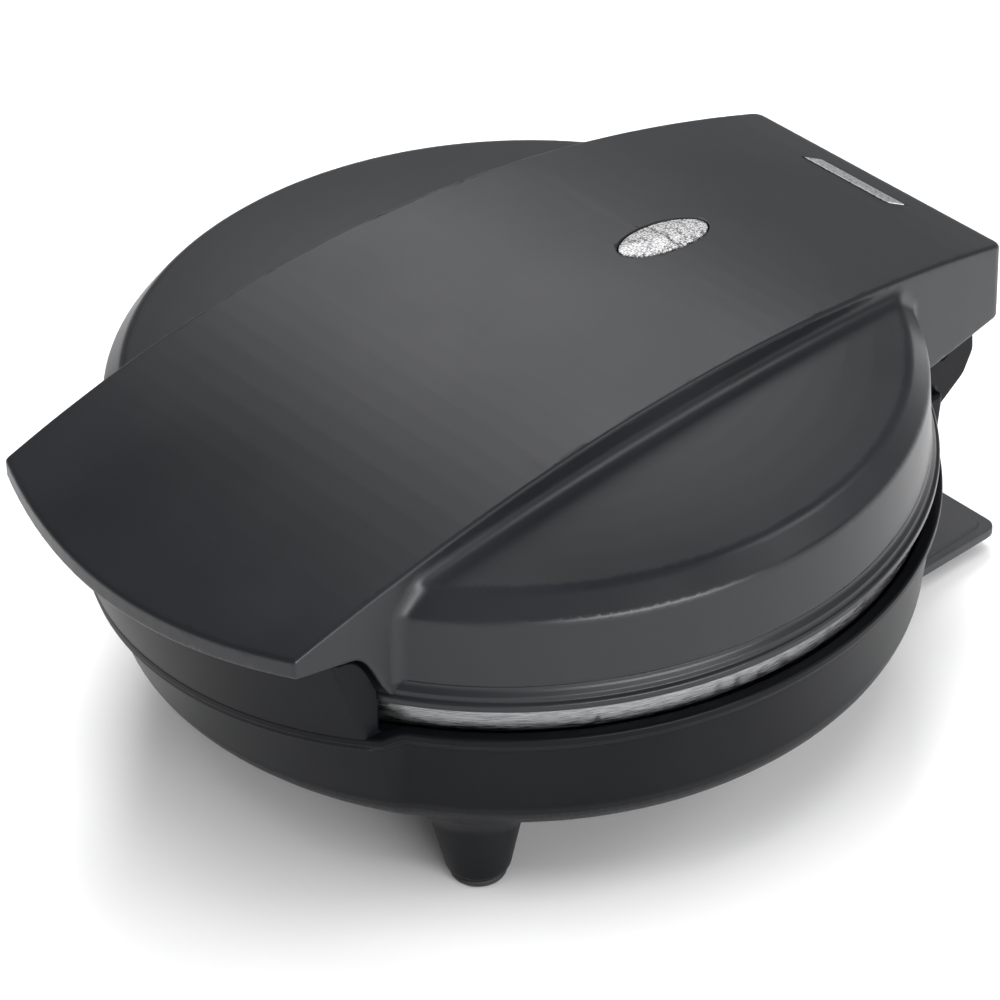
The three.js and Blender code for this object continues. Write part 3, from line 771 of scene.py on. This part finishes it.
def hinge_tower(x, y, z):
    """The block at the back of the bowl, and the ears on it that hold the hinge pins."""
    body = both(TOWER_SIDE(y, z), np.abs(x) - TOWER_HALF_W, 1.5)
    ear = either(EAR_SIDE(y, z), rod_x(y, z, HINGE_BOSS_R), 1.5)
    ear = both(ear, slab(np.abs(x), *EAR_X), 0.8)
    return either(body, ear, 1.5)


def leg_centres():
    boxes = [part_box(f"foot_pad_{i}") for i in range(1, 5)]
    return [((low + high) / 2 / MM).to_2d() for low, high in boxes]


def off_legs(x, y):
    """The distance in plan from the nearest leg's middle."""
    return np.minimum.reduce([np.hypot(x - cx, y - cy) for cx, cy in leg_centres()])


PAD_TOP_Z = 2.8
LEG_TIP_R = 8.6
LEG_TOP_Z = 30
LEG_FLARE = 6.4 / 30


def legs(x, y, z):
    radius = LEG_TIP_R + LEG_FLARE * (z - PAD_TOP_Z)
    return both((off_legs(x, y) - radius) * 0.97, slab(z, PAD_TOP_Z, LEG_TOP_Z), 1.6)


def lower_housing(x, y, z):
    r = np.hypot(x, y) / bulge(x, y, z)
    outer = either(BOWL_PROFILE(r, z), front_block(x, y, z), 0.8)
    outer = either(outer, hinge_tower(x, y, z), 2.0)
    outer = either(outer, legs(x, y, z), 4.0)
    shell = without(outer, BOWL_HOLLOW(np.hypot(x, y), z), 0.4)
    return np.maximum(shell, -rod_x(y, z, HINGE_BORE_R))


# Baking plates, face up at z = 0 --------------------------------------------------------------
def ring_gap(x, y):
    """The distance from the middle line of the nearest ring."""
    from_centre = np.hypot(x, y)
    nearest = np.abs(from_centre - RING_MID_R)
    for i in range(6):
        angle = i * math.pi / 3
        dx = x - RING_PITCH_R * math.cos(angle)
        dy = y - RING_PITCH_R * math.sin(angle)
        nearest = np.minimum(nearest, np.abs(np.hypot(dx, dy) - RING_MID_R))
    return nearest


def plate_profile(radius, skirt, step_r):
    """A plate's edge: the turned skirt, and a rib behind it that seats in the housing."""
    floor_z = -4
    rib_z = -skirt - 2.5
    return Outline([
        (AXIS, 0, 0),
        (radius, 0, 0.5),
        (radius, -skirt, 0.4),
        (step_r, -skirt, 0.4),
        (step_r, rib_z, 0.4),
        (step_r - 3, rib_z, 0.4),
        (step_r - 3, floor_z, 0.6),
        (AXIS, floor_z, 0),
    ])


def baking_plate(profile):
    """A plate with seven ring cavities of even wall, and three screw seats."""
    squash = RING_TUBE_W / RING_DEPTH

    def distance(x, y, z):
        near = ring_gap(x, y)
        depth = np.hypot(near, z * squash)
        cavity = (depth - RING_TUBE_W) / 1.05
        pods = np.maximum((depth - RING_TUBE_W - 2.2) / 1.05, z)
        cast = either(profile(np.hypot(x, y), z), pods, 1.0)
        cast = without(cast, cavity, 0.9)
        for i in range(3):
            angle = math.radians(30 + 120 * i)
            off = np.hypot(x - PLATE_SCREW_R * math.cos(angle), y - PLATE_SCREW_R * math.sin(angle))
            cast = without(cast, np.maximum(off - 3.8, -2.2 - z), 0.3)
        return cast
    return distance


def lowered(distance, height, sign):
    """The distance moved to a height, and turned over when sign is -1."""
    return lambda x, y, z: distance(x, y, sign * (z - height))


# Small pieces ---------------------------------------------------------------------------------
def lens_half(side):
    """One half of the domed lens, in front of its middle (-1) or behind it (1)."""
    def distance(x, y, z):
        crown = band_top(y) + 0.75 * np.clip(1 - (x / 7.2) ** 2 - ((y - LENS_Y) / 16) ** 2, 0, 1)
        body = both(ellipse(x, y, -0.05), z - crown, 0.5)
        body = np.maximum(body, band_top(y) - 3 - z)
        return both(body, side * (LENS_Y - y) + 0.22, 0.25)
    return distance


def badge(x, y, z):
    return both(badge_plan(x, y, 0), np.abs(z - band_top(y) + 0.1) - 0.28, 0.15)


def foot_pads(x, y, z):
    return both(off_legs(x, y) - 7.3 - 0.3 * z, np.abs(z - 1.25) - 1.25, 0.9)


WRAP_PLAN = Outline([
    (24, 42, 3), (24, 76, 3), (WRAP_HALF_W, 76, 4), (WRAP_HALF_W, WRAP_BACK_Y, 4),
    (-WRAP_HALF_W, WRAP_BACK_Y, 4), (-WRAP_HALF_W, 76, 4), (-24, 76, 3), (-24, 42, 3),
])


WRAP_TOP_Z = 8.0
RING_MARK_R = 2.3
PIT_R = 0.55


def wrap_marks(x, y):
    """The distance in plan from the ring marks and the small pits in the plate's top."""
    marks = np.inf
    for ring_x in (-39, 0, 39):
        for ring_y in (97, 119):
            marks = np.minimum(marks, np.abs(np.hypot(x - ring_x, y - ring_y) - RING_MARK_R) - 0.4)
            for turn in range(5):
                angle = 0.5 + turn * 0.55
                reach = 6.5 + 2.2 * (turn % 3)
                pit_x = ring_x + reach * math.cos(angle)
                pit_y = ring_y - 6 + reach * math.sin(angle)
                marks = np.minimum(marks, np.hypot(x - pit_x, y - pit_y) - PIT_R)
    return marks


def cord_wrap(x, y, z):
    """The plate, its pedestal, a raised panel and the moulding marks on it."""
    plate = both(WRAP_PLAN(x, y), np.abs(z - 6.5) - 1.5, 0.6)
    pedestal = both(both(np.abs(x) - 20, np.abs(y - 57) - 15, 3), np.abs(z - 13.1) - 8.05, 0.4)
    body = either(plate, pedestal, 2.0)
    panel = both(np.abs(x) - WRAP_HALF_W + 3.2, np.abs(y - 106) - 24.2, 3)
    body = np.minimum(body, both(panel, np.abs(z - 8.1) - 0.5, 0.25))
    return np.maximum(body, -np.maximum(wrap_marks(x, y), WRAP_TOP_Z - z))


def gland(x, y, z):
    """The rubber sleeve that the cord would leave by, with a flange at its end."""
    low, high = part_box("cord_gland")
    centre = (low + high) / 2 / MM
    off = np.hypot(x - centre.x, z - centre.z)
    sleeve = both(off - 4.9, np.abs(y - 107.5) - 8.5, 0.6)
    flange = both(off - 6.8, np.abs(y - 116.2) - 1.2, 0.8)
    return without(np.minimum(sleeve, flange), off - 3.4, 0.5)


# Light, floor and camera ----------------------------------------------------------------------
def area_light(name, place, target, size, power, mirrored=True):
    """A soft box aimed at a target. One that isn't mirrored doesn't show in glossy surfaces."""
    lamp = bpy.data.lights.new(name, "AREA")
    lamp.shape = "RECTANGLE"
    lamp.size, lamp.size_y = size
    lamp.energy = power
    holder = bpy.data.objects.new(name, lamp)
    holder.location = place
    holder.visible_glossy = mirrored
    aim = Vector(target) - Vector(place)
    holder.rotation_euler = aim.to_track_quat("-Z", "Y").to_euler()
    bpy.context.scene.collection.objects.link(holder)


def studio():
    """A pale room, brighter low down than overhead, with five soft boxes."""
    world = bpy.data.worlds.new("studio")
    world.use_nodes = True
    where = add_node(world, "ShaderNodeTexCoord")
    split = add_node(world, "ShaderNodeSeparateXYZ")
    ramp = add_node(world, "ShaderNodeValToRGB")
    ramp.color_ramp.elements[0].color = (0.36, 0.36, 0.37, 1)
    ramp.color_ramp.elements[1].color = (0.33, 0.33, 0.345, 1)
    ramp.color_ramp.elements[0].position = 0.3
    ramp.color_ramp.elements[1].position = 0.85
    link(world, where.outputs["Generated"], split.inputs["Vector"])
    link(world, split.outputs["Z"], ramp.inputs["Fac"])
    sky = world.node_tree.nodes["Background"]
    link(world, ramp.outputs["Color"], sky.inputs["Color"])
    sky.inputs["Strength"].default_value = 1.0
    bpy.context.scene.world = world
    bpy.context.scene.view_settings.view_transform = "Standard"
    middle = (0, 0, 0.08)
    area_light("key_box", (-0.6, 0.5, 1.5), middle, (0.7, 0.7), 17, False)
    area_light("fill_box", (0.3, -0.35, 1.75), middle, (1.2, 1.2), 21, False)
    area_light("back_box", (-0.98, 0.86, 1.13), middle, (0.8, 0.66), 5.2)
    area_light("side_box", (1.48, -0.25, 0.34), middle, (1.1, 0.42), 24)
    area_light("edge_box", (0.95, 0.84, 1.0), middle, (0.6, 0.5), 5)


def floor():
    bpy.ops.mesh.primitive_plane_add(size=12, location=(0, 0, -0.0002))
    ground = bpy.context.active_object
    ground.name = "floor"
    material, _ = new_finish("pale_floor", (0.93, 0.93, 0.93), 0.6)
    ground.data.materials.append(material)


def camera():
    """A long lens from the front right and above, a little rolled."""
    distance = 1.2727
    azimuth, elevation, roll = math.radians(49.35), math.radians(36.46), math.radians(-1.89)
    target = Vector((4.1, -9.8, 63.2)) * MM
    back = Vector((
        math.sin(azimuth) * math.cos(elevation),
        -math.cos(azimuth) * math.cos(elevation),
        math.sin(elevation),
    ))
    right = (-back).cross(Vector((0, 0, 1))).normalized()
    up = right.cross(-back)
    turned_right = math.cos(roll) * right + math.sin(roll) * up
    turned_up = -math.sin(roll) * right + math.cos(roll) * up
    lens = bpy.data.cameras.new("camera")
    lens.sensor_width = 36
    lens.lens = 168.66
    lens.shift_x = -0.0023
    lens.shift_y = -0.0024
    lens.clip_end = 50
    holder = bpy.data.objects.new("camera", lens)
    turn = Matrix((turned_right, turned_up, back)).transposed().to_4x4()
    holder.matrix_world = Matrix.Translation(target + back * distance) @ turn
    bpy.context.scene.collection.objects.link(holder)
    bpy.context.scene.camera = holder


# Assembly -------------------------------------------------------------------------------------
def dress(finish, *nodes):
    """Gives CAD nodes that keep their own shape a finish."""
    for node in nodes:
        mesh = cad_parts[node].data
        mesh.materials.clear()
        mesh.materials.append(finish)


def box_of(*nodes):
    lows = [corner_mm(node, 0) for node in nodes]
    highs = [corner_mm(node, 1) for node in nodes]
    return np.min(lows, 0) - 2, np.max(highs, 0) + 2


def stand_in(name, distance, cell, finish, body, slot, *nodes, **fineness):
    """A smooth piece in place of CAD nodes."""
    low, high = box_of(*nodes)
    piece = skin(name, distance, low, high, cell, finish, body, **fineness)
    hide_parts(*nodes)
    return piece


def edge_metal(piece, radius):
    """The plate's turned rim stays bare metal: faces that look outward there take that finish."""
    mesh = piece.data
    mesh.materials.append(MACHINED)
    for face in mesh.polygons:
        out = math.hypot(face.center.x, face.center.y) / MM
        if out > radius and abs(face.normal.z) < 0.75:
            face.material_index = 1


def build():
    stand_in("lid_shell", upper_housing, 1.35, BLACK, "lid", "black_plastic", "upper_housing", share=0.5)
    stand_in("bowl_shell", lower_housing, 1.35, SHADED_BASE_BLACK, "base", "black_plastic", "lower_housing",
             share=0.5)
    ring("lid_foot_ring", LID_FOOT, BLACK, "lid", "black_plastic", "upper_housing")
    ring("bowl_rim_bead", RIM_BEAD, SHADED_BASE_BLACK, "base", "black_plastic", "lower_housing", bulge)
    upper = baking_plate(plate_profile(111.5, 7.2, 108.8))
    lower = baking_plate(plate_profile(110, 6, 107))
    top = stand_in("top_plate", lowered(upper, PLATE_Z + 0.25, -1), 1.35, COATED, "lid",
                   "coated_aluminium", "upper_baking_plate", share=0.6)
    bottom = stand_in("bottom_plate", lowered(lower, PLATE_Z - 0.25, 1), 1.35, COATED, "base",
                      "coated_aluminium", "lower_baking_plate", share=0.6)
    edge_metal(top, 110.5)
    edge_metal(bottom, 109)
    for side, node in ((-1, "lens_front"), (1, "lens_rear")):
        stand_in("clear_" + node, lens_half(side), 0.5, LENS, "lid", "clear_lens", node)
    stand_in("plain_badge", badge, 0.25, BADGE, "lid", "badge_aluminium", "badge_plate")
    pads = [f"foot_pad_{i}" for i in range(1, 5)]
    stand_in("foot_pads", foot_pads, 0.9, RUBBER, "base", "rubber", *pads)
    stand_in("cord_wrap_plate", cord_wrap, 1.1, WRAP_BLACK, "base", "black_plastic", "cord_wrap_bracket")
    stand_in("gland_sleeve", gland, 0.7, RUBBER, "base", "rubber", "cord_gland")


def finish_frame():
    dress(SHEATH, "lower_heating_element", "upper_heating_element")
    dress(SHEET, "lower_reflector", "upper_reflector")
    dress(STEEL, "lower_thermostat", "upper_thermostat", "hinge_pin_left", "hinge_pin_right")
    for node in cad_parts:
        if "screw" in node:
            dress(STEEL, node)
    dress(WHITE, "thermal_fuse", "terminal_block")
    dress(INNER_BLACK, "lamp_holder", "handle_cover")
    dress(RED, "power_lamp")
    dress(GREEN, "ready_lamp")


camera()
studio()
floor()
build()
finish_frame()
